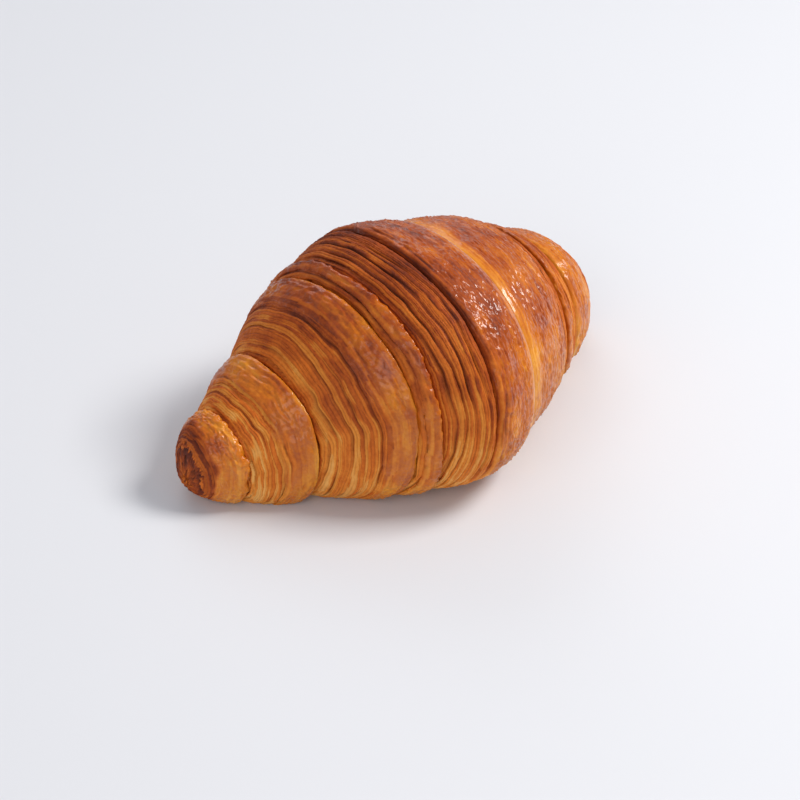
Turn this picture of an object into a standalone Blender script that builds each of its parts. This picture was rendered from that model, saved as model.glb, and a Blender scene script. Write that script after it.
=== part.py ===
"""A butter croissant: one solid of rolled dough with its wraps, cut edges and grooves.

The long axis runs along X, Z is up, and the origin is at the bottom centre of the
croissant's box. The dough is a row of rings. Each ring is a rounded section of the roll,
wide at the middle and small at the tips, and its girth steps in and out where one
wrap of dough ends over the next.
"""

from typing import NamedTuple

import bmesh
import bpy
import numpy as np

MM = 0.001

# Driving dimensions.
LENGTH = 174.0 * MM
BELLY_PLACE = -10.0 * MM       # the thickest place, nearer to the near tip
BELLY_HEIGHT = 80.0 * MM
BELLY_HALF_WIDTH = 49.0 * MM
TAPER_POWER = 1.3              # how the arms narrow from the belly: 1 is a cone, 2 a barrel
END_ROUNDING = 14.0            # how late and how bluntly the tips round off
TIP_CURL = 22.0 * MM           # how far the tips curl back from the belly
TIP_LIFT = 7.0 * MM            # the tips hang a little above the tray
TIP_LIFT_START = 0.70          # as a share of the arm
TRAY_FLATTENING = 1.0 * MM     # depth of dough pressed flat against the tray

# The section.
RING_POINTS = 64
SECTION_ROUNDNESS = 2.2        # exponent of the upper half's section, 2 is an ellipse
UNDERSIDE_FULLNESS = 0.4       # added below towards the tips, where the dough sagged
WIDEST_LEVEL = 0.46            # the widest level, as a share of the section's height

# The relief of a wrap.
LIP_PROUD = 2.0 * MM           # a wrap's lip above the roll's plain taper
CREST_PROUD = 1.2 * MM
SKIN_END = -0.1 * MM
GROOVE_DEPTH = 2.4 * MM
FACE_MIDDLE = 0.2 * MM
GROOVE_WIDTH = 1.3 * MM
TIP_RINGS = 7                  # rings that round off each tip
TIP_END_SHARE = 0.995          # where the last ring closes the tip, as a share of the arm

CRUST_COLOUR = (0.42, 0.12, 0.025, 1.0)
CRUST_ROUGHNESS = 0.42


class Arm(NamedTuple):
    """How the roll narrows and curls from the belly to one tip.

    The losses are the shares of the height and the width gone at the tip. The shoulder is
    0 for a plain taper and 1 for a round shoulder that drops to a slim tip. The curl's
    reach is the share of the arm in which about half of the curl happens.
    """

    height_loss: float
    width_loss: float
    shoulder: float
    curl_reach: float


class Wrap(NamedTuple):
    """One turn of dough: where its cut edge starts, where its skin starts, where it ends."""

    groove: float
    lip: float
    end: float
    depth: float = 1.0
    end_height: float = SKIN_END


NEAR_ARM = Arm(0.65, 0.73, 1.0, 0.55)
FAR_ARM = Arm(0.64, 0.70, 0.0, 0.55)

# The near half's wraps show their cut edges towards the near tip, and step up to the middle.
NEAR_WRAPS = [
    Wrap(-73.0 * MM, -64.0 * MM, -55.0 * MM),
    Wrap(-55.0 * MM, -41.0 * MM, -33.0 * MM, 1.1),
    Wrap(-33.0 * MM, -31.5 * MM, -28.0 * MM, 0.7),
    Wrap(-28.0 * MM, -11.0 * MM, 12.0 * MM, 0.8, LIP_PROUD),
]

# The far half's wraps are given from the far tip inwards, with their cut edges towards it.
FAR_WRAPS = [
    Wrap(82.0 * MM, 80.0 * MM, 78.0 * MM, 0.5),
    Wrap(78.0 * MM, 75.0 * MM, 61.0 * MM, 0.8),
    Wrap(61.0 * MM, 54.0 * MM, 50.5 * MM, 0.7),
    Wrap(50.5 * MM, 44.5 * MM, 13.5 * MM, 0.8),
]


def outwards(x):
    """Share of the way from the belly to the tip, 0 to 1."""
    along = x - BELLY_PLACE
    arm = LENGTH / 2 + np.sign(along) * -BELLY_PLACE
    return np.minimum(np.abs(along) / arm, TIP_END_SHARE)


def narrowed(x, belly_size, near_loss, far_loss):
    """A size of the roll: a power of the way out, or a raised cosine, rounded off at the tip."""
    out = outwards(x)
    near = x < BELLY_PLACE
    loss = np.where(near, near_loss, far_loss)
    shoulder = np.where(near, NEAR_ARM.shoulder, FAR_ARM.shoulder)
    cosine = (1 - np.cos(np.pi * out)) / 2
    fall = (1 - shoulder) * out**TAPER_POWER + shoulder * cosine
    return belly_size * (1 - loss * fall) * np.sqrt(1 - out**END_ROUNDING)


def taper(x):
    """Height and half width of the roll's plain taper."""
    height = narrowed(x, BELLY_HEIGHT, NEAR_ARM.height_loss, FAR_ARM.height_loss)
    half_width = narrowed(x, BELLY_HALF_WIDTH, NEAR_ARM.width_loss, FAR_ARM.width_loss)
    return height, half_width


def bend(x):
    """Sideways place of the roll's axis, which curls back towards both tips."""
    out = outwards(x) ** 2
    reach = np.where(x < BELLY_PLACE, NEAR_ARM.curl_reach, FAR_ARM.curl_reach) ** 2
    return TIP_CURL * out / (out + reach) * (1 + reach)


def tip_lift(x):
    """Height of the roll's underside above the tray."""
    return TIP_LIFT * np.clip((outwards(x) - TIP_LIFT_START) / (1 - TIP_LIFT_START), 0, 1) ** 2


def wrap_relief(wrap):
    """Places along the roll and heights above its taper, from a wrap's groove to its end."""
    inward = np.sign(wrap.end - wrap.groove)
    places = (
        wrap.groove,
        wrap.groove + 0.15 * (wrap.lip - wrap.groove),
        wrap.groove + 0.5 * (wrap.lip - wrap.groove),
        wrap.lip,
        wrap.lip + 0.5 * (wrap.end - wrap.lip),
        wrap.end - inward * GROOVE_WIDTH,
    )
    face = (-GROOVE_DEPTH, -0.4 * GROOVE_DEPTH, FACE_MIDDLE)
    heights = (*face, LIP_PROUD, CREST_PROUD, wrap.end_height)
    return [(x, wrap.depth * height) for x, height in zip(places, heights)]


def tip_relief(tip, groove):
    """A tip's rings, closer together towards its end, down to its wrap's groove."""
    share = np.linspace(0, 1, TIP_RINGS, endpoint=False)
    return [(tip + (groove - tip) * part**1.8, 0.0) for part in share]


def meridian():
    """Relief of the whole roll from tip to tip, as rows of place and height above the taper."""
    near_tip = tip_relief(-LENGTH / 2, NEAR_WRAPS[0].groove)
    far_tip = tip_relief(LENGTH / 2, FAR_WRAPS[0].groove)
    near = [point for wrap in NEAR_WRAPS for point in wrap_relief(wrap)]
    far = [point for wrap in FAR_WRAPS for point in wrap_relief(wrap)]
    return np.array(near_tip + near + far[::-1] + far_tip[::-1])


def section(x, relief):
    """Points of one ring: a rounded section, flat where it would pass below the tray."""
    height, half_width = taper(x)
    height = height + 2 * relief
    half_width = half_width + relief
    turn = np.linspace(0, 2 * np.pi, RING_POINTS, endpoint=False)
    across, up = np.cos(turn), np.sin(turn)
    underside = SECTION_ROUNDNESS + UNDERSIDE_FULLNESS * min(2 * outwards(x), 1)
    power = 2 / np.where(up > 0, SECTION_ROUNDNESS, underside)
    across = np.sign(across) * np.abs(across) ** power
    up = np.sign(up) * np.abs(up) ** power
    middle = tip_lift(x) - relief - TRAY_FLATTENING + WIDEST_LEVEL * height
    share = np.where(up > 0, 1 - WIDEST_LEVEL, WIDEST_LEVEL)
    y = bend(x) + half_width * across
    z = np.maximum(middle + share * height * up, 0)
    return np.column_stack((np.full(RING_POINTS, x), y, z))


def build_croissant():
    """One closed skin: rings joined in a row, with a flat end on each tip."""
    mesh = bpy.data.meshes.new("croissant")
    shape = bmesh.new()
    rings = []
    for x, relief in meridian():
        made = bmesh.ops.create_circle(shape, segments=RING_POINTS, radius=1.0)
        for vertex, point in zip(made["verts"], section(x, relief)):
            vertex.co = point
        rings.append(made["verts"])
    for ring, following in zip(rings, rings[1:]):
        for i in range(RING_POINTS):
            j = (i + 1) % RING_POINTS
            shape.faces.new((ring[i], ring[j], following[j], following[i]))
    shape.faces.new(rings[0])
    shape.faces.new(rings[-1])
    bmesh.ops.recalc_face_normals(shape, faces=shape.faces)
    shape.to_mesh(mesh)
    shape.free()
    mesh.shade_smooth()
    body = bpy.data.objects.new("croissant", mesh)
    bpy.context.scene.collection.objects.link(body)
    return body


def crust_material():
    """Baked and egg-washed dough."""
    material = bpy.data.materials.new("crust")
    material.use_nodes = True
    shader = material.node_tree.nodes["Principled BSDF"]
    shader.inputs["Base Color"].default_value = CRUST_COLOUR
    shader.inputs["Roughness"].default_value = CRUST_ROUGHNESS
    shader.inputs["Metallic"].default_value = 0.0
    return material


def clear_scene():
    """Empty the scene of its objects."""
    for item in list(bpy.data.objects):
        bpy.data.objects.remove(item, do_unlink=True)


clear_scene()
croissant = build_croissant()
croissant.data.materials.append(crust_material())
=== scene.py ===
"""Looks of the butter croissant: its wraps of laminated dough, dressed and lit.

The croissant is a roll of dough. Each wrap is one closed surface, a grid of rows that run
along the roll and columns that run round its girth. A wrap starts deep in a groove, climbs
over its cut edge, where the layers show, crosses its egg-washed skin and dives under the
next wrap. Every length below is in modelling millimetres; Roll turns them into metres.
"""

import logging
from dataclasses import dataclass, field
from enum import Enum

import bpy
import numpy as np
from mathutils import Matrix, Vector


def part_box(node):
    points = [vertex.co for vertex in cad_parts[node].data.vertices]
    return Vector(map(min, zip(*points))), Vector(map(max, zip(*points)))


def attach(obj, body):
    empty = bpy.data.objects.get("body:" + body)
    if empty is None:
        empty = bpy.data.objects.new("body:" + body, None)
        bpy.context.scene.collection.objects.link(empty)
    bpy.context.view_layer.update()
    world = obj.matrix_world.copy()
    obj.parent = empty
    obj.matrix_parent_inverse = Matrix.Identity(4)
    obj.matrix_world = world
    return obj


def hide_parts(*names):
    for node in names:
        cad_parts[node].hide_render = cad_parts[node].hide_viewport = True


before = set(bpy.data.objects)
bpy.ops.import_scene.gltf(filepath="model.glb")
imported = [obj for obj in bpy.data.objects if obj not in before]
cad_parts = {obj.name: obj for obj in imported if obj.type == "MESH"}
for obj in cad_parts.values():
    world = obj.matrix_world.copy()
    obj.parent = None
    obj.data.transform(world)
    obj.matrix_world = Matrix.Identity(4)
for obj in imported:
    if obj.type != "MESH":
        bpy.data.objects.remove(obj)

log = logging.getLogger("croissant")

NODE = "croissant"
BODY = "root"

WRAP_BAKE_HEIGHT = 77.0  # height that a wrap's bake is judged against
TIP_BAKE_HEIGHT = 34.0   # and a tip's
UNDERCUT_PLACE = 0.89    # where a lip is undercut, as a share of the cut edge
# width of the painted shade under an undercut lip, as a share of the cut edge
UNDERCUT_SHADE_REACH = 0.07


class Side(Enum):
    """The tip that a wrap's cut edge faces, as the direction from that tip to the middle."""

    NEAR = 1
    FAR = -1


# ---------------------------------------------------------------- fields and curves


def through_stations(x: np.ndarray, places: np.ndarray, sizes: np.ndarray) -> np.ndarray:
    """Smooth curve through sizes at places, as a cubic whose slopes never overshoot.

    Args:
        x: where the curve is read.
        places: rising places of the stations.
        sizes: the curve's value at each station.

    Returns:
        The curve's value at each x.
    """
    step = np.diff(places)
    rise = np.diff(sizes) / step
    before, after = rise[:-1], rise[1:]
    turning = before * after <= 0
    mean = 2 * before * after / np.where(turning, 1, before + after)
    slope = np.concatenate(([rise[0]], np.where(turning, 0, mean), [rise[-1]]))
    i = np.clip(np.searchsorted(places, x) - 1, 0, len(step) - 1)
    u = (x - places[i]) / step[i]
    return (
        sizes[i] * (1 + 2 * u) * (1 - u) ** 2
        + sizes[i + 1] * (3 - 2 * u) * u**2
        + step[i] * (slope[i] * u * (1 - u) ** 2 - slope[i + 1] * (1 - u) * u**2)
    )


def ease(low: float, high: float, x: np.ndarray) -> np.ndarray:
    """Smooth step: 0 below low, 1 above high, and a cubic between them."""
    t = np.clip((x - low) / (high - low), 0, 1)
    return t * t * (3 - 2 * t)


def noise(
    rng: np.random.Generator, across: np.ndarray, turn: np.ndarray, cells_round: int
) -> np.ndarray:
    """Gradient noise on a lattice that closes round the girth.

    Each lattice corner holds a random direction. A point's value is the smooth blend of
    its four corners' directions, each dotted with the way from that corner to the point.

    Args:
        rng: where the lattice's directions come from.
        across: place along the roll, in cells.
        turn: place round the girth, in turns.
        cells_round: whole number of cells round the girth.

    Returns:
        Values from about -1 to 1, shaped as across and turn broadcast.
    """
    across, turn = np.broadcast_arrays(across, turn)
    low = int(np.floor(across.min()))
    rows = int(np.floor(across.max())) - low + 2
    angle = rng.uniform(0, 2 * np.pi, (rows, cells_round))
    gx, gy = np.cos(angle), np.sin(angle)
    a = across - low
    b = (turn % 1.0) * cells_round
    i, j = np.floor(a).astype(int), np.floor(b).astype(int)
    fa, fb = a - i, b - j
    j0, j1 = j % cells_round, (j + 1) % cells_round
    wa, wb = (w * w * w * (w * (w * 6 - 15) + 10) for w in (fa, fb))

    def corner(di: int, column: np.ndarray, db: np.ndarray) -> np.ndarray:
        """One corner's share: its direction dotted with the way to the point."""
        return gx[i + di, column] * (fa - di) + gy[i + di, column] * db

    here = corner(0, j0, fb) * (1 - wb) + corner(0, j1, fb - 1) * wb
    there = corner(1, j0, fb) * (1 - wb) + corner(1, j1, fb - 1) * wb
    return 1.5 * (here * (1 - wa) + there * wa)


def fractal(
    rng: np.random.Generator, across: np.ndarray, turn: np.ndarray, cells_round: int, octaves: int
) -> np.ndarray:
    """Sum of noise octaves, each at twice the pitch and half the strength of the last."""
    total = np.zeros(np.broadcast(across, turn).shape)
    for k in range(octaves):
        total += noise(rng, across * 2**k, turn, cells_round * 2**k) / 2**k
    return total


def flat_noise(rng: np.random.Generator, u: np.ndarray, v: np.ndarray) -> np.ndarray:
    """Gradient noise on an open plane, with u and v in cells."""
    cells = int(np.ceil(v.max() - v.min())) + 2
    return noise(rng, u, (v - v.min()) / cells, cells)


# ---------------------------------------------------------------- the roll


@dataclass(frozen=True)
class Arm:
    """How the roll narrows and curls from the belly to one tip.

    The losses are the shares of height and width gone at the tip. The shoulder is 0 for a
    plain taper and 1 for a round shoulder that drops to a slim tip. The curl's reach is the
    share of the arm in which about half of the curl happens.
    """

    height_loss: float
    width_loss: float
    shoulder: float
    curl_reach: float


@dataclass(frozen=True)
class Roll:
    """The plain tapered roll that the wraps follow.

    A size of the roll is its belly's, less the arm's loss times the fall: a power of the
    way out from the belly to the tip, or a raised cosine on a shouldered arm. The tips
    round off. A ring of the roll is a rounded section, widest at widest_level of its
    height, and flat where it would pass below the tray. Both arms curl back.
    """

    unit: float
    near_arm: Arm = Arm(0.65, 0.73, 1.0, 0.55)
    far_arm: Arm = Arm(0.64, 0.70, 0.0, 0.55)
    half_length: float = 87.0
    belly_place: float = -10.0
    belly_height: float = 80.0
    belly_half_width: float = 49.0
    taper_power: float = 1.3
    end_rounding: float = 14.0
    end_share: float = 0.995
    tip_curl: float = 22.0
    tip_lift: float = 7.0
    tip_lift_start: float = 0.70
    roundness: float = 2.2
    underside_fullness: float = 0.4
    widest_level: float = 0.46
    tray_flattening: float = 1.0

    @staticmethod
    def from_frame() -> "Roll":
        """The roll at the CAD solid's size.

        Returns:
            A roll whose unit is one modelling millimetre, measured on the CAD solid's length.
        """
        low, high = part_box(NODE)
        return Roll((high.x - low.x) / (2 * Roll.half_length))

    def outwards(self, x: np.ndarray) -> np.ndarray:
        """Share of the way from the belly to the tip, 0 to 1."""
        along = x - self.belly_place
        arm = self.half_length - np.sign(along) * self.belly_place
        return np.minimum(np.abs(along) / arm, self.end_share)

    def by_arm(self, x: np.ndarray, quality: str) -> np.ndarray:
        """The near or the far arm's value of a quality, whichever arm each x lies on."""
        near, far = getattr(self.near_arm, quality), getattr(self.far_arm, quality)
        return np.where(x < self.belly_place, near, far)

    def narrowed(self, x: np.ndarray, belly_size: float, quality: str) -> np.ndarray:
        """The belly's size less the arm's loss times the fall, rounded off at the tip."""
        out = self.outwards(x)
        shoulder = self.by_arm(x, "shoulder")
        fall = (1 - shoulder) * out**self.taper_power + shoulder * (1 - np.cos(np.pi * out)) / 2
        return belly_size * (1 - self.by_arm(x, quality) * fall) * np.sqrt(1 - out**self.end_rounding)

    def height(self, x: np.ndarray) -> np.ndarray:
        """Height of the plain taper."""
        return self.narrowed(x, self.belly_height, "height_loss")

    def half_width(self, x: np.ndarray) -> np.ndarray:
        """Half width of the plain taper."""
        return self.narrowed(x, self.belly_half_width, "width_loss")

    def radius(self, x: np.ndarray) -> np.ndarray:
        """Mean radius of the plain taper."""
        return (self.height(x) / 2 + self.half_width(x)) / 2

    def bend(self, x: np.ndarray) -> np.ndarray:
        """Sideways place of the roll's axis: a hill's side that levels out at the tip."""
        out, reach = self.outwards(x) ** 2, self.by_arm(x, "curl_reach") ** 2
        return self.tip_curl * out / (out + reach) * (1 + reach)

    def place(self, x: np.ndarray, turn: np.ndarray, relief: np.ndarray) -> np.ndarray:
        """Points of the roll's surface.

        A point goes round its section with turn, from the side the tips curl to, over the
        top at a quarter turn, and down the bulging side. Relief moves it out from the taper.

        Args:
            x: place along the roll.
            turn: place round the girth, in turns.
            relief: height above the plain taper.

        Returns:
            Points in metres, with one more axis than the inputs.
        """
        x, turn, relief = np.broadcast_arrays(x, turn, relief)
        height = self.height(x) + 2 * relief
        half_width = self.half_width(x) + relief
        across, up = np.cos(2 * np.pi * turn), np.sin(2 * np.pi * turn)
        out = self.outwards(x)
        fuller = self.underside_fullness * np.minimum(2 * out, 1)
        power = 2 / np.where(up > 0, self.roundness, self.roundness + fuller)
        across = np.sign(across) * np.abs(across) ** power
        up = np.sign(up) * np.abs(up) ** power
        raised = np.clip((out - self.tip_lift_start) / (1 - self.tip_lift_start), 0, 1)
        lift = self.tip_lift * raised**2
        belly = lift - relief - self.tray_flattening + self.widest_level * height
        share = np.where(up > 0, 1 - self.widest_level, self.widest_level)
        y = self.bend(x) + half_width * across
        z = np.maximum(belly + share * height * up, 0.0)
        return np.stack((x, y, z), axis=-1) * self.unit


# ---------------------------------------------------------------- grooves and wraps


@dataclass(frozen=True)
class Groove:
    """Where one wrap of dough ends under the next, all round the girth."""

    x: float
    seed: int
    wander: float = 0.8
    cells: int = 4

    def line(self, turn: np.ndarray) -> np.ndarray:
        """Place along the roll at each turn: the groove's own place plus slow noise."""
        rng = np.random.default_rng(self.seed)
        slow = fractal(rng, np.full_like(turn, 0.5), turn, self.cells, 3)
        return self.x + self.wander * slow


@dataclass(frozen=True)
class Layers:
    """The fine layers that show on a cut edge.

    A layer is a low rounded ridge that runs round the girth. Ridges are pitched unevenly,
    wander together, and every few layers one crevice is deep, which parts them in bundles.
    """

    pitch: float = 0.62
    ridge: float = 0.44
    bundle: float = 3.2
    crevice: float = 1.0
    swell: float = 0.45
    wander: float = 1.0

    def stack(
        self, rng: np.random.Generator, place: np.ndarray, pitch: float
    ) -> tuple[np.ndarray, np.ndarray]:
        """Uneven layers laid one on the next.

        Args:
            rng: where the pitches and tones come from.
            place: distance across the layers.
            pitch: the layers' mean thickness.

        Returns:
            Each point's share of the way through its layer, and its layer's tone from 0 to 1.
        """
        low, high = place.min() - 2 * pitch, place.max() + 2 * pitch
        count = int((high - low) / pitch * 1.8) + 4
        edges = low + np.concatenate(([0], np.cumsum(pitch * rng.uniform(0.45, 1.55, count))))
        tones = rng.uniform(0, 1, count + 2)
        i = np.clip(np.searchsorted(edges, place) - 1, 0, count - 1)
        share = (place - edges[i]) / (edges[i + 1] - edges[i])
        return np.clip(share, 0, 1), tones[i]

    def relief(
        self, rng: np.random.Generator, place: np.ndarray, turn: np.ndarray, girth: float
    ) -> tuple[np.ndarray, np.ndarray, np.ndarray]:
        """Height, the painted shade of the valleys, and tone of the layers.

        Args:
            rng: where the layers come from.
            place: distance across the cut edge.
            turn: place round the girth, in turns.
            girth: length once round the wrap.

        Returns:
            Height above the cut edge, the painted shade of the valleys from 0 to 1, strongest
            where a point lies deepest, and the tone of its layer from 0 to 1.
        """
        long_cells = max(4, round(girth / 26))
        short_cells = max(8, round(girth / 7))
        drift = self.wander * noise(rng, place / 6, turn, long_cells)
        drift = drift + 0.22 * self.wander * noise(rng, place / 2, turn, short_cells)
        share_a, tone_a = self.stack(rng, place + drift, self.pitch)
        share_b, tone_b = self.stack(rng, place + 0.7 * drift, self.pitch * 1.25)
        choose = ease(-0.12, 0.12, noise(rng, place / 3, turn, long_cells * 2))
        lift_a = (4 * share_a * (1 - share_a)) ** 0.6 * (0.45 + 0.55 * tone_a)
        lift_b = (4 * share_b * (1 - share_b)) ** 0.6 * (0.45 + 0.55 * tone_b)
        ridge = lift_a * (1 - choose) + lift_b * choose
        tone = tone_a * (1 - choose) + tone_b * choose
        share_c, tone_c = self.stack(rng, place + 1.3 * drift, self.bundle)
        edge = np.minimum(share_c, 1 - share_c) * self.bundle
        open_here = ease(-0.5, 0.4, noise(rng, place / 5, turn, long_cells)) * (0.4 + 0.6 * tone_c)
        cleft = np.exp(-((edge / 0.35) ** 2)) * open_here
        swell = (4 * share_c * (1 - share_c)) ** 0.5 * self.swell
        ragged = noise(rng, place / 0.5, turn, max(16, round(girth / 1.6)))
        height = self.ridge * ridge * (1 + 0.5 * ragged) + swell - self.crevice * cleft
        # Painted shade: strong between the ridges and in the deep clefts.
        valley_shade = np.clip(0.75 * (1 - ridge) + 0.9 * cleft, 0, 1)
        return height, valley_shade, tone


@dataclass(frozen=True)
class Skin:
    """The egg-washed skin of a wrap: low blisters and wrinkles drawn out round the girth."""

    blister: float = 0.34
    wrinkle: float = 0.42
    wave: float = 0.6

    def relief(
        self, rng: np.random.Generator, place: np.ndarray, turn: np.ndarray, girth: float
    ) -> np.ndarray:
        """Height above the skin: slow waves, drawn-out wrinkles and small blisters."""
        wave = fractal(rng, place / 9, turn, max(4, round(girth / 16)), 2)
        wrinkle = fractal(rng, place / 1.5, turn, max(8, round(girth / 5)), 2)
        blister = noise(rng, place / 1.1, turn, max(8, round(girth / 1.8)))
        fine = noise(rng, place / 0.7, turn, max(8, round(girth / 1.0)))
        return (
            self.wave * wave
            + self.wrinkle * (1 - 2 * np.abs(wrinkle))
            + self.blister * np.clip(blister, -0.2, 1)
            + 0.35 * self.blister * fine
        )


@dataclass
class Fields:
    """What a wrap's mesh carries: its points and, for each point, how it is dressed, painted shade included.
    """

    points: np.ndarray
    skin: np.ndarray
    # Bake darkness; on a wrap it also holds the painted shade at its groove and under its lip.
    brown: np.ndarray
    # Painted shade of the valleys between layers and of the crumb's holes.
    valley_shade: np.ndarray
    tone: np.ndarray
    rows: np.ndarray


@dataclass(frozen=True)
class Wrap:
    """One turn of dough, from the groove its cut edge rises from to the groove it ends in."""

    name: str
    side: Side
    start: Groove
    lip: float
    end: Groove
    seed: int
    columns: int = 480
    depth: float = 3.2
    proud: float = 1.7
    crest: float = 1.2
    tail: float = -0.1
    tail_over: bool = False
    # depth of the dip under the lip; it also sets how strong the painted shade there is
    undercut: float = 0.3
    brown: float = 0.56
    face_brown: float = 0.5
    row_pitch: float = 0.14
    skin_pitch: float = 0.3
    layers: Layers = field(default_factory=Layers)
    finish: Skin = field(default_factory=Skin)

    def meridian(self, roll: Roll) -> dict[str, np.ndarray]:
        """The wrap's outline along the roll, before any detail.

        The outline is given in shares: q runs from 0 at the starting groove to 1 at the
        lip, and on to 2 at the ending groove. Below 0 and above 2 it is hidden.

        Returns:
            Rows of q, of the hidden offset past the groove, and of relief above the taper.
        """
        face = abs(self.lip - self.start.x)
        skin = abs(self.end.x - self.lip)
        slope = abs(float(roll.radius(np.array(self.lip)) - roll.radius(np.array(self.start.x)))) / face
        face_rows = int(face * np.hypot(1, slope + 0.4) / self.row_pitch)
        skin_rows = int(skin / self.skin_pitch)
        q = np.concatenate(
            (np.linspace(0, 1, face_rows, endpoint=False), np.linspace(1, 2, skin_rows))
        )
        stations = np.array([0, 0.06, 0.2, 0.5, 0.78, UNDERCUT_PLACE, 1.0, 1.25, 1.6, 1.85, 1.95, 2.0])
        end = self.proud if self.tail_over else self.tail
        drop = -0.4 if self.tail_over else -self.depth
        sizes = np.array(
            [
                -self.depth,
                -0.5 * self.depth,
                -0.1,
                0.45 * self.proud,
                0.7 * self.proud,
                0.8 * self.proud - self.undercut,
                self.proud,
                self.proud,
                self.crest,
                0.5 * (self.crest + end),
                end - 0.6,
                drop,
            ]
        )
        return {"q": q, "relief": through_stations(q, stations, sizes)}

    def build(self, roll: Roll) -> Fields:
        """Points and dressing of the wrap.

        Along the roll a point lies between the starting groove, the lip and the ending
        groove, at its own turn. The layers' or the skin's height is added along the
        outline's normal.

        Args:
            roll: the roll that the wrap follows.

        Returns:
            The wrap's points and dressing, painted shade included, as rows by columns.
        """
        rng = np.random.default_rng(self.seed)
        inward = float(self.side.value)
        line = self.meridian(roll)
        turn = np.arange(self.columns)[None, :] / self.columns
        q = line["q"][:, None]
        relief = line["relief"][:, None] * np.ones_like(turn)
        start, end = self.start.line(turn), self.end.line(turn)
        lip = self.lip + 1.2 * fractal(rng, np.full_like(turn, 0.5), turn, 7, 3)
        x = np.where(q < 1, start + (lip - start) * q, lip + (end - lip) * (q - 1))
        girth = 2 * np.pi * float(roll.radius(np.array(self.lip)))

        run = np.gradient(x, axis=0)
        radius = roll.radius(x) + relief
        rise = np.gradient(radius, axis=0)
        length = np.hypot(run, rise) + 1e-6
        place = np.cumsum(length, axis=0)
        place = place - place[np.argmin(np.abs(line["q"] - 1)), :][None, :]
        out_x, out_r = -rise / length * inward, np.abs(run) / length

        soft = fractal(rng, place / 3, turn, max(8, round(girth / 9)), 3)
        skin = ease(-1.6, 2.6, place + 3.0 * soft)
        layers, valley_shade, tone = self.layers.relief(rng, place, turn, girth)
        swollen = self.finish.relief(rng, place, turn, girth)
        edge = ease(0, 0.05, q) * ease(2.0, 1.72, q)
        detail = (layers * (1 - 0.72 * skin) + (swollen + 0.3) * skin) * np.clip(edge, 0, 1)
        x = x + detail * out_x
        relief = relief + detail * out_r

        hidden_in = [(3.6, -8.0), (2.0, -5.5), (0.7, -1.6 - self.depth)]
        hidden_out = [(0.5, -1.8 - self.depth), (1.6, -5.5), (3.0, -8.0)]
        if self.tail_over:
            hidden_out = [(-0.5, -1.6), (-2.0, -4.0), (-4.0, -8.0)]
        x_in = np.concatenate([start + inward * dx for dx, _ in hidden_in])
        x_out = np.concatenate([end + inward * dx for dx, _ in hidden_out])
        r_in = np.array([[r] for _, r in hidden_in]) * np.ones_like(turn)
        r_out = np.array([[r] for _, r in hidden_out]) * np.ones_like(turn)
        x = np.concatenate((x_in, x, x_out))
        relief = np.concatenate((r_in, relief, r_out))

        def padded(values: np.ndarray) -> np.ndarray:
            """Field over the hidden rows too, where it keeps its edge rows' values."""
            first, last = values[:1], values[-1:]
            return np.concatenate((first, first, first, values, last, last, last))

        # The painted shade of the valleys is kept weaker on the skin.
        skin, valley_shade, tone = padded(skin), padded(valley_shade * (1 - 0.62 * skin)), padded(tone)
        points = roll.place(x, turn, relief)
        high = points[..., 2] / (roll.unit * WRAP_BAKE_HEIGHT)
        share = padded(np.clip(q - 1, 0, 1) * np.ones_like(turn))
        face_share = padded(np.clip(q, 0, 1) * np.ones_like(turn))
        patches = fractal(rng, x / 11, turn, max(4, round(girth / 14)), 3)
        skin_brown = self.brown + 0.34 * (high - 0.6) + 0.15 * patches - 0.26 * ease(0.72, 1.0, share)
        face_brown = self.face_brown + 0.60 * (high - 0.62) + 0.10 * patches + 0.1 * (face_share - 0.5)
        # Painted shade: the cut edge darkens at its foot in the groove, and in a band under an undercut lip;
        # both are added to brown.
        foot = 0.34 * (1 - ease(0.0, 0.16, face_share))
        foot = foot + 0.14 * self.undercut * np.exp(-(((face_share - UNDERCUT_PLACE) / UNDERCUT_SHADE_REACH) ** 2))
        brown = skin_brown * skin + face_brown * (1 - skin) + foot
        rows = np.concatenate(([0.0, 0.6, 1.2], place.mean(axis=1) - place.mean(axis=1)[0] + 1.8))
        rows = np.concatenate((rows, rows[-1] + np.array([0.6, 1.2, 1.8])))
        return Fields(points, skin, np.clip(brown, 0, 1), valley_shade, tone, rows)


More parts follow.
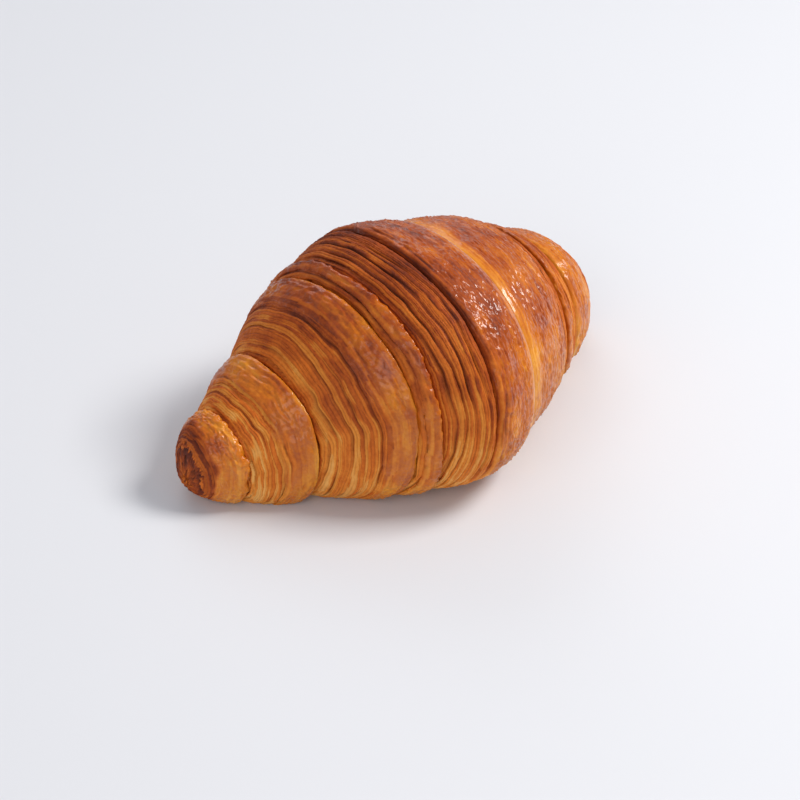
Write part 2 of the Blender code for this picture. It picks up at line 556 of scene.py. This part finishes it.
@dataclass(frozen=True)
class Tip:
    """A rolled end: a core of coarse crumb, rings of layers round it, then a smooth skin."""

    name: str
    side: Side
    end: Groove
    seed: int
    columns: int = 360
    core: float = 6.5
    ring: float = 10.5
    brown: float = 0.6
    face_brown: float = 0.7
    row_pitch: float = 0.18
    layers: Layers = field(default_factory=Layers)
    finish: Skin = field(default_factory=Skin)

    def build(self, roll: Roll) -> Fields:
        """Points and dressing of the tip.

        The outline runs from the pole at the tip's face out over the core and the rings,
        along the skin, and down under the first wrap. Its place along the roll falls back
        from the tip as the square of its radius does on a dome, and the ring radius then
        follows the taper.

        Args:
            roll: the roll that the tip belongs to.

        Returns:
            The tip's points and dressing, as rows by columns. The first row is the pole's.
        """
        rng = np.random.default_rng(self.seed)
        inward = float(self.side.value)
        tip = -inward * roll.half_length
        turn = np.arange(self.columns)[None, :] / self.columns
        reach = abs(self.end.x - tip)
        length = reach * 1.25
        rows = int(length / self.row_pitch)
        s = np.linspace(0.012, 1, rows)[:, None]
        end = self.end.line(turn)
        x_plain = tip + (end - tip) * s**1.6
        shrink = np.clip(s / 0.30, 0, 1) ** 0.9
        plain = roll.radius(x_plain)
        relief = -plain * (1 - shrink) + 0.7 * ease(0.45, 0.8, s) - 0.9 * ease(0.86, 0.97, s)
        relief = relief - 2.0 * ease(0.95, 1.0, s)
        girth = 2 * np.pi * float(roll.radius(np.array(self.end.x)))
        place = s * length * np.ones_like(turn)

        y_flat = s * length * np.cos(2 * np.pi * turn) / 1.3
        z_flat = s * length * np.sin(2 * np.pi * turn) / 1.3
        cells = flat_noise(rng, y_flat, z_flat)
        holes = flat_noise(rng, y_flat * 1.9, z_flat * 1.9)
        crumb = 0.9 * (1 - 2 * np.abs(cells)) + 0.45 * (1 - 2 * np.abs(holes)) - 0.5
        wander = fractal(rng, np.full_like(turn, 0.5), turn, 5, 3)
        core = 1 - ease(self.core - 1.2, self.core + 0.8, place + 1.2 * wander)
        skin = ease(self.ring - 1.0, self.ring + 1.5, place + 2.5 * wander)
        skin = skin * (1 - core)
        layers, valley_shade, tone = self.layers.relief(rng, place, turn, girth)
        swollen = self.finish.relief(rng, place, turn, girth)
        ring = (1 - core) * (1 - skin)
        detail = layers * ring + (swollen + 0.3) * skin + (0.7 * crumb) * core
        detail = detail * np.clip(place / 1.5, 0, 1)

        run = np.gradient(x_plain, axis=0)
        rise = np.gradient(roll.radius(x_plain) + relief, axis=0)
        size = np.hypot(run, rise) + 1e-6
        x = x_plain - rise / size * inward * detail
        relief = relief + np.abs(run) / size * detail
        x = np.where(x * inward < tip * inward, tip, x)

        hidden = [(0.5, -5.0), (1.6, -8.0), (2.5, -11.0)]
        x = np.concatenate([x] + [end + inward * dx for dx, _ in hidden])
        relief = np.concatenate([relief] + [np.full_like(turn, r) for _, r in hidden])

        def padded(values: np.ndarray) -> np.ndarray:
            """Field over the hidden rows too, where it keeps its last row's values."""
            last = values[-1:]
            return np.concatenate((values, last, last, last))

        points = roll.place(x, turn, relief)
        # Painted shade: the valleys between the rings' layers, and the holes of the crumb in the core, made
        # darker.
        valley_shade = valley_shade * ring + np.clip(0.6 - crumb, 0, 1) * core
        patches = padded(fractal(rng, place / 7, turn, 6, 3))
        skin, valley_shade, tone = padded(skin), padded(valley_shade), padded(tone)
        share = padded(s * np.ones_like(turn))
        high = points[..., 2] / (roll.unit * TIP_BAKE_HEIGHT)
        skin_brown = self.brown + 0.25 * (high - 0.5) + 0.20 * patches - 0.12 * ease(0.7, 1.0, share)
        face_brown = self.face_brown + 0.25 * (high - 0.45) + 0.10 * patches
        brown = skin_brown * skin + face_brown * (1 - skin)
        rows_at = np.concatenate((s[:, 0] * length, length + np.array([0.8, 1.6, 2.4])))
        return Fields(points, skin, np.clip(brown, 0, 1), valley_shade, tone, rows_at)


# ---------------------------------------------------------------- meshes


class GridMesh:
    """Turns rows and columns of points into a closed mesh with its map and dressing."""

    def __init__(self, name: str, fields: Fields, capped: bool) -> None:
        """Keep what the mesh is made from.

        Args:
            name: the piece's name.
            fields: the points and their dressing.
            capped: True closes the first and last rows with a fan each, and False joins the
                last row to the first one.
        """
        self.name = name
        self.fields = fields
        self.capped = capped

    def faces(self) -> tuple[np.ndarray, np.ndarray]:
        """Corner points of the quads and of the end fans."""
        rows, columns = self.fields.points.shape[:2]
        i = np.arange(rows - 1 if self.capped else rows)[:, None]
        j = np.arange(columns)[None, :]
        up, right = (i + 1) % rows, (j + 1) % columns
        quads = np.stack(
            (i * columns + j, i * columns + right, up * columns + right, up * columns + j), -1
        ).reshape(-1, 4)
        if not self.capped:
            return quads, np.zeros((0, 3), int)
        j = j[0]
        first, last = rows * columns, rows * columns + 1
        ring = (rows - 1) * columns
        start = np.stack((np.full(columns, first), (j + 1) % columns, j), -1)
        finish = np.stack((np.full(columns, last), ring + j, ring + (j + 1) % columns), -1)
        return quads, np.concatenate((start, finish))

    def corners_map(self, quads: np.ndarray, fans: np.ndarray) -> np.ndarray:
        """Map of every face corner: across by distance along the roll, and up by turn."""
        rows, columns = self.fields.points.shape[:2]
        at = self.fields.rows / (self.fields.rows[-1] + (0.0 if self.capped else 0.5))
        u = np.concatenate((np.repeat(at, columns), [0.0, 1.0]))
        v = np.concatenate((np.tile(np.arange(columns) / columns, rows), [0.5, 0.5]))
        quad_u, quad_v = u[quads], v[quads]
        wraps_turn = quads[:, 1] % columns == 0
        quad_v[wraps_turn, 1:3] = 1.0
        if not self.capped:
            last_row = quads[:, 0] >= (rows - 1) * columns
            quad_u[last_row, 2:4] = 1.0
        fan_u, fan_v = u[fans], v[fans]
        if len(fans):
            start, finish = slice(0, columns), slice(columns, 2 * columns)
            j = np.arange(columns) / columns
            fan_v[start, 0], fan_v[start, 1], fan_v[start, 2] = j, j + 1 / columns, j
            fan_v[finish, 0], fan_v[finish, 1], fan_v[finish, 2] = j, j, j + 1 / columns
        pairs = np.concatenate(
            (np.stack((quad_u, quad_v), -1).reshape(-1, 2), np.stack((fan_u, fan_v), -1).reshape(-1, 2))
        )
        return 0.002 + 0.996 * pairs

    def make(self) -> bpy.types.Object:
        """The finished object, closed, smooth and facing outwards."""
        fields = self.fields
        rows, columns = fields.points.shape[:2]
        points = fields.points.reshape(-1, 3)
        if self.capped:
            poles = np.stack((fields.points[0].mean(axis=0), fields.points[-1].mean(axis=0)))
            points = np.concatenate((points, poles))
        quads, fans = self.faces()
        uv = self.corners_map(quads, fans)
        a, b, c = (points[quads[:, k]] for k in (0, 1, 2))
        d = points[quads[:, 3]]
        volume = np.einsum("ij,ij->", a, np.cross(b, c)) + np.einsum("ij,ij->", a, np.cross(c, d))
        corners = np.concatenate((quads.reshape(-1), fans.reshape(-1)))
        sizes = np.concatenate((np.full(len(quads), 4), np.full(len(fans), 3)))
        starts = np.concatenate(([0], np.cumsum(sizes)[:-1]))
        if volume < 0:
            order = np.arange(len(corners))
            reverse = starts.repeat(sizes) + (sizes.repeat(sizes) - 1) - (order - starts.repeat(sizes))
            corners, uv = corners[reverse], uv[reverse]
        mesh = bpy.data.meshes.new(self.name)
        mesh.vertices.add(len(points))
        mesh.loops.add(len(corners))
        mesh.polygons.add(len(sizes))
        mesh.vertices.foreach_set("co", points.astype(np.float32).reshape(-1))
        mesh.loops.foreach_set("vertex_index", corners.astype(np.int32))
        mesh.polygons.foreach_set("loop_start", starts.astype(np.int32))
        mesh.update(calc_edges=True)
        mesh.validate()
        layer = mesh.uv_layers.new(name="OFBake")
        layer.data.foreach_set("uv", uv.astype(np.float32).reshape(-1))
        # brown holds the bake with painted groove shade added; the shade field holds painted shade of the
        # valleys.
        for name, values in (
            ("skin", fields.skin),
            ("brown", fields.brown),
            ("valley_shade", fields.valley_shade),
            ("tone", fields.tone),
        ):
            flat = values.reshape(-1)
            if self.capped:
                flat = np.concatenate((flat, [values[0].mean(), values[-1].mean()]))
            attribute = mesh.attributes.new(name, "FLOAT", "POINT")
            attribute.data.foreach_set("value", flat.astype(np.float32))
        mesh.shade_smooth()
        piece = bpy.data.objects.new(self.name, mesh)
        bpy.context.scene.collection.objects.link(piece)
        return piece


# ---------------------------------------------------------------- finishes


def srgb(red: int, green: int, blue: int) -> tuple[float, float, float, float]:
    """Linear colour from an everyday 0 to 255 one."""
    c = np.array([red, green, blue]) / 255
    linear = np.where(c <= 0.04045, c / 12.92, ((c + 0.055) / 1.055) ** 2.4)
    return (*(float(v) for v in linear), 1.0)


class Nodes:
    """Short ways to add nodes and links to one node tree."""

    def __init__(self, tree: bpy.types.NodeTree) -> None:
        """Work on this tree."""
        self.tree = tree

    def add(self, kind: str, **settings: object) -> bpy.types.Node:
        """New node of a kind, with its settings."""
        node = self.tree.nodes.new(kind)
        for name, value in settings.items():
            setattr(node, name, value)
        return node

    def link(self, source: bpy.types.NodeSocket, target: bpy.types.NodeSocket) -> None:
        """Join an output to an input."""
        self.tree.links.new(source, target)

    def feed(self, socket: bpy.types.NodeSocket, value: object) -> None:
        """Set an input to a number or colour, or link it to an output."""
        if isinstance(value, bpy.types.NodeSocket):
            self.link(value, socket)
        else:
            socket.default_value = value

    def math(self, operation: str, a: object, b: object = 0.0, c: object = 0.0) -> bpy.types.NodeSocket:
        """Result of a Math node."""
        node = self.add("ShaderNodeMath", operation=operation)
        for socket, value in zip(node.inputs, (a, b, c)):
            self.feed(socket, value)
        return node.outputs[0]

    def remap(
        self, value: object, low: float, high: float, to_low: float, to_high: float
    ) -> bpy.types.NodeSocket:
        """Value moved from one range to another and held there."""
        node = self.add("ShaderNodeMapRange")
        for socket, item in zip(node.inputs, (value, low, high, to_low, to_high)):
            self.feed(socket, item)
        return node.outputs[0]

    def noise(
        self, vector: bpy.types.NodeSocket, scale: float, detail: float = 3.0
    ) -> bpy.types.NodeSocket:
        """Fractal noise read at a vector."""
        node = self.add("ShaderNodeTexNoise")
        self.link(vector, node.inputs["Vector"])
        node.inputs["Scale"].default_value = scale
        node.inputs["Detail"].default_value = detail
        return node.outputs["Fac"]

    def mix(self, share: object, a: object, b: object, blend: str = "MIX") -> bpy.types.NodeSocket:
        """Two colours mixed."""
        node = self.add("ShaderNodeMix", data_type="RGBA", blend_type=blend)
        self.feed(node.inputs["Factor"], share)
        self.feed(node.inputs[6], a)
        self.feed(node.inputs[7], b)
        return node.outputs[2]

    def ramp(self, value: object, stops: list[tuple[float, tuple]]) -> bpy.types.NodeSocket:
        """Colour ramp through stops of place and colour."""
        node = self.add("ShaderNodeValToRGB")
        ramp = node.color_ramp
        while len(ramp.elements) < len(stops):
            ramp.elements.new(0.5)
        for element, (at, colour) in zip(ramp.elements, stops):
            element.position = at
            element.color = colour
        self.feed(node.inputs["Fac"], value)
        return node.outputs["Color"]


@dataclass(frozen=True)
class BakedDough:
    """Crust colours, from pale dough to the darkest bake, for skins and for cut edges."""

    skin_stops: tuple = (
        (0.0, srgb(232, 172, 70)),
        (0.22, srgb(216, 142, 40)),
        (0.45, srgb(194, 106, 18)),
        (0.68, srgb(160, 70, 8)),
        (0.86, srgb(122, 46, 8)),
        (1.0, srgb(88, 32, 10)),
    )
    edge_stops: tuple = (
        (0.0, srgb(236, 172, 92)),
        (0.25, srgb(220, 136, 50)),
        (0.5, srgb(194, 98, 26)),
        (0.75, srgb(150, 64, 16)),
        (1.0, srgb(94, 36, 18)),
    )

    def group(self) -> bpy.types.NodeTree:
        """The shader group that turns a piece's dressing into colour, with painted shade in the valleys, and
        into gloss and fine relief.

        Returns:
            A node tree with inputs for the dressing and outputs for the shader's sockets.
        """
        tree = bpy.data.node_groups.new("BakedDough", "ShaderNodeTree")
        face = tree.interface
        for name, default in (
            ("Skin", 0.5),
            ("Browning And Shade", 0.5),
            ("Valley Shade", 0.0),
            ("Tone", 0.5),
            ("Shift", 0.0),
            ("Gloss", 1.0),
        ):
            socket = face.new_socket(name, in_out="INPUT", socket_type="NodeSocketFloat")
            socket.default_value = default
        face.new_socket("Place", in_out="INPUT", socket_type="NodeSocketVector")
        face.new_socket("Colour", in_out="OUTPUT", socket_type="NodeSocketColor")
        for name in ("Roughness", "Wash", "Height"):
            face.new_socket(name, in_out="OUTPUT", socket_type="NodeSocketFloat")
        n = Nodes(tree)
        given = n.add("NodeGroupInput").outputs
        result = n.add("NodeGroupOutput").inputs
        place = given["Place"]
        blotch = n.noise(place, 160.0, 4.0)
        speck = n.noise(place, 900.0, 3.0)
        fine = n.noise(place, 2600.0, 2.0)
        # Browning And Shade carries the bake and, on wraps, the painted shade at the groove and under the
        # lip.
        brown = n.math("ADD", given["Browning And Shade"], given["Shift"])
        brown = n.math("ADD", brown, n.math("MULTIPLY", n.math("SUBTRACT", blotch, 0.5), 0.34))
        brown = n.math("ADD", brown, n.math("MULTIPLY", n.math("SUBTRACT", speck, 0.5), 0.22))
        streak = n.math("MULTIPLY", n.math("SUBTRACT", given["Tone"], 0.5), 0.20)
        streaked = n.math("ADD", brown, streak)
        skin_colour = n.ramp(streaked, list(self.skin_stops))
        layered = n.math("ADD", brown, n.math("MULTIPLY", n.math("SUBTRACT", given["Tone"], 0.5), 0.46))
        # Painted shade: cut edges a little browner in the valleys.
        layered = n.math("ADD", layered, n.math("MULTIPLY", given["Valley Shade"], 0.12))
        edge_colour = n.ramp(layered, list(self.edge_stops))
        colour = n.mix(given["Skin"], edge_colour, skin_colour)
        # Painted shade: a touch lighter on the ridges, and down to about half as bright deep in the valleys.
        shade = n.remap(given["Valley Shade"], 0.25, 1.0, 1.08, 0.52)
        colour = n.mix(1.0, colour, shade, "MULTIPLY")
        n.link(colour, result["Colour"])
        rough = n.remap(given["Skin"], 0.0, 1.0, 0.62, 0.36)
        rough = n.math("ADD", rough, n.math("MULTIPLY", n.math("SUBTRACT", speck, 0.5), 0.25))
        n.link(rough, result["Roughness"])
        wash = n.math("MULTIPLY", given["Skin"], given["Gloss"])
        wash = n.math("MULTIPLY", wash, n.remap(blotch, 0.3, 0.6, 0.35, 1.0))
        n.link(wash, result["Wash"])
        height = n.math("ADD", n.math("MULTIPLY", speck, 0.7), n.math("MULTIPLY", fine, 0.3))
        n.link(height, result["Height"])
        return tree


@dataclass(frozen=True)
class Crust:
    """One wrap's crust: how far its bake is shifted and how much egg wash it took."""

    name: str
    shift: float = 0.0
    gloss: float = 0.6
    bump: float = 0.00012

    def material(self, dough: bpy.types.NodeTree) -> bpy.types.Material:
        """Principled material that reads the piece's own attributes through the dough group.

        Args:
            dough: the BakedDough group.

        Returns:
            The material.
        """
        material = bpy.data.materials.new(self.name)
        material.use_nodes = True
        n = Nodes(material.node_tree)
        shader = material.node_tree.nodes["Principled BSDF"]
        crust = n.add("ShaderNodeGroup", node_tree=dough)
        for socket, attribute in (
            ("Skin", "skin"),
            ("Browning And Shade", "brown"),
            ("Valley Shade", "valley_shade"),
            ("Tone", "tone"),
        ):
            read = n.add("ShaderNodeAttribute", attribute_name=attribute)
            n.link(read.outputs["Fac"], crust.inputs[socket])
        crust.inputs["Shift"].default_value = self.shift
        crust.inputs["Gloss"].default_value = self.gloss
        place = n.add("ShaderNodeTexCoord")
        n.link(place.outputs["Object"], crust.inputs["Place"])
        n.link(crust.outputs["Colour"], shader.inputs["Base Color"])
        n.link(crust.outputs["Roughness"], shader.inputs["Roughness"])
        n.link(crust.outputs["Wash"], shader.inputs["Coat Weight"])
        bump = n.add("ShaderNodeBump")
        bump.inputs["Distance"].default_value = self.bump
        bump.inputs["Strength"].default_value = 1.0
        n.link(crust.outputs["Height"], bump.inputs["Height"])
        n.link(bump.outputs["Normal"], shader.inputs["Normal"])
        shader.inputs["IOR"].default_value = 1.45
        shader.inputs["Specular IOR Level"].default_value = 0.22
        shader.inputs["Coat Roughness"].default_value = 0.16
        shader.inputs["Coat IOR"].default_value = 1.5
        return material


# ---------------------------------------------------------------- the croissant


@dataclass
class Croissant:
    """All the wraps, from tip to tip, and the two rolled tips."""

    roll: Roll
    grooves: dict[str, Groove] = field(default_factory=dict)

    def __post_init__(self) -> None:
        """Lay out the grooves along the roll."""
        for number, (name, x) in enumerate(
            (
                ("near_tip", -73.0),
                ("near_collar", -55.0),
                ("near_shoulder", -33.0),
                ("near_middle", -28.0),
                ("flap", 12.0),
                ("far_middle", 50.5),
                ("far_shoulder", 61.0),
                ("far_collar", 78.0),
                ("far_tip", 82.0),
            )
        ):
            self.grooves[name] = Groove(x, 100 + number)

    def parts(self) -> list[Tip | Wrap]:
        """Every wrap and tip, from the near tip to the far one."""
        g = self.grooves
        near, far = Side.NEAR, Side.FAR
        return [
            Tip("near_tip_roll", near, g["near_tip"], 11, brown=0.46),
            Wrap("near_collar_wrap", near, g["near_tip"], -64.0, g["near_collar"], 12, 440),
            Wrap(
                "near_shoulder_wrap", near, g["near_collar"], -41.0, g["near_shoulder"], 13, 520,
                depth=3.4,
            ),
            Wrap(
                "near_middle_wrap", near, g["near_shoulder"], -31.5, g["near_middle"], 14, 560,
                proud=1.3,
            ),
            Wrap(
                "centre_wrap", near, g["near_middle"], -11.0, g["flap"], 15, 560,
                tail_over=True, undercut=2.2,
            ),
            Wrap("far_middle_wrap", far, g["far_middle"], 44.5, g["flap"], 16, 560),
            Wrap(
                "far_shoulder_wrap", far, g["far_shoulder"], 54.0, g["far_middle"], 17, 520,
                proud=1.2,
            ),
            Wrap("far_collar_wrap", far, g["far_collar"], 75.0, g["far_shoulder"], 18, 480),
            Wrap(
                "far_band_wrap", far, g["far_tip"], 80.0, g["far_collar"], 19, 400,
                depth=1.6, proud=1.0,
            ),
            Tip("far_tip_roll", far, g["far_tip"], 20, core=3.0, ring=5.0),
        ]

    def make(self) -> list[bpy.types.Object]:
        """Mesh, dress and place every wrap.

        Returns:
            The pieces, each riding on the croissant's body and standing for its solid.
        """
        dough = BakedDough().group()
        pieces = []
        for part in self.parts():
            fields = part.build(self.roll)
            piece = GridMesh(part.name, fields, capped=isinstance(part, Tip)).make()
            piece.data.materials.append(Crust(part.name + "_crust").material(dough))
            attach(piece, BODY)
            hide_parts(NODE)
            log.info("%s: %d faces", piece.name, len(piece.data.polygons))
            pieces.append(piece)
        return pieces


# ---------------------------------------------------------------- the studio


@dataclass(frozen=True)
class Lamp:
    """A soft square light, by the way it comes from, its distance, size and power."""

    name: str
    way: tuple[float, float, float]
    distance: float
    size: float
    power: float
    colour: tuple[float, float, float] = (1.0, 1.0, 1.0)

    def make(self, aim: Vector) -> None:
        """Hang the light so that it faces aim."""
        data = bpy.data.lights.new(self.name, "AREA")
        data.shape = "SQUARE"
        data.size = self.size
        data.energy = self.power
        data.color = self.colour
        lamp = bpy.data.objects.new(self.name, data)
        lamp.location = aim + Vector(self.way).normalized() * self.distance
        lamp.rotation_euler = (aim - lamp.location).to_track_quat("-Z", "Y").to_euler()
        bpy.context.scene.collection.objects.link(lamp)


@dataclass(frozen=True)
class Studio:
    """Pale floor, soft lights, and the camera that looks down on the croissant."""

    floor_size: float = 12.0
    azimuth: float = -40.0
    elevation: float = 36.0
    distance: float = 1.0067
    lens: float = 135.0
    aim: tuple[float, float, float] = (-0.0151, -0.0033, 0.0232)

    def floor(self) -> None:
        """A wide pale sheet at the croissant's foot."""
        half = self.floor_size / 2
        corners = [(-half, -half, 0), (half, -half, 0), (half, half, 0), (-half, half, 0)]
        mesh = bpy.data.meshes.new("floor")
        mesh.from_pydata(corners, [], [(0, 1, 2, 3)])
        sheet = bpy.data.objects.new("floor", mesh)
        bpy.context.scene.collection.objects.link(sheet)
        material = bpy.data.materials.new("pale_floor")
        material.use_nodes = True
        shader = material.node_tree.nodes["Principled BSDF"]
        shader.inputs["Base Color"].default_value = (0.70, 0.71, 0.75, 1.0)
        shader.inputs["Roughness"].default_value = 0.9
        shader.inputs["Specular IOR Level"].default_value = 0.1
        mesh.materials.append(material)

    def lights(self) -> None:
        """Key from the right and above, fill from the left, and an even sky."""
        aim = Vector((0.0, 0.0, 0.035))
        for lamp in (
            Lamp("key", (0.50, -0.39, 0.77), 1.3, 0.45, 15.0, (1.0, 0.98, 0.94)),
            Lamp("back", (0.35, 0.80, 0.65), 1.6, 0.9, 4.5, (0.97, 0.98, 1.0)),
            Lamp("fill", (-0.85, -0.45, 0.55), 1.7, 1.2, 8.0, (1.0, 0.99, 0.97)),
        ):
            lamp.make(aim)
        world = bpy.data.worlds.new("studio")
        world.use_nodes = True
        sky = world.node_tree.nodes["Background"]
        sky.inputs["Color"].default_value = (0.93, 0.95, 1.0, 1.0)
        sky.inputs["Strength"].default_value = 0.40
        bpy.context.scene.world = world

    def camera(self) -> None:
        """Long lens from the near tip's front quarter."""
        data = bpy.data.cameras.new("camera")
        data.lens = self.lens
        data.sensor_width = 36.0
        data.clip_start = 0.05
        data.clip_end = 50.0
        camera = bpy.data.objects.new("camera", data)
        a, e = np.radians(self.azimuth), np.radians(self.elevation)
        back = Vector((np.sin(a) * np.cos(e), -np.cos(a) * np.cos(e), np.sin(e)))
        aim = Vector(self.aim)
        camera.location = aim + back * self.distance
        camera.rotation_euler = (-back).to_track_quat("-Z", "Y").to_euler()
        bpy.context.scene.collection.objects.link(camera)
        bpy.context.scene.camera = camera

    def make(self) -> None:
        """Set up the whole studio."""
        self.floor()
        self.lights()
        self.camera()
        bpy.context.scene.view_settings.view_transform = "Standard"


def main() -> None:
    """Build the studio and the croissant."""
    logging.basicConfig(level=logging.INFO, format="%(name)s: %(message)s")
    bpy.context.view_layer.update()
    Studio().make()
    Croissant(Roll.from_frame()).make()


if __name__ == "__main__":
    main()
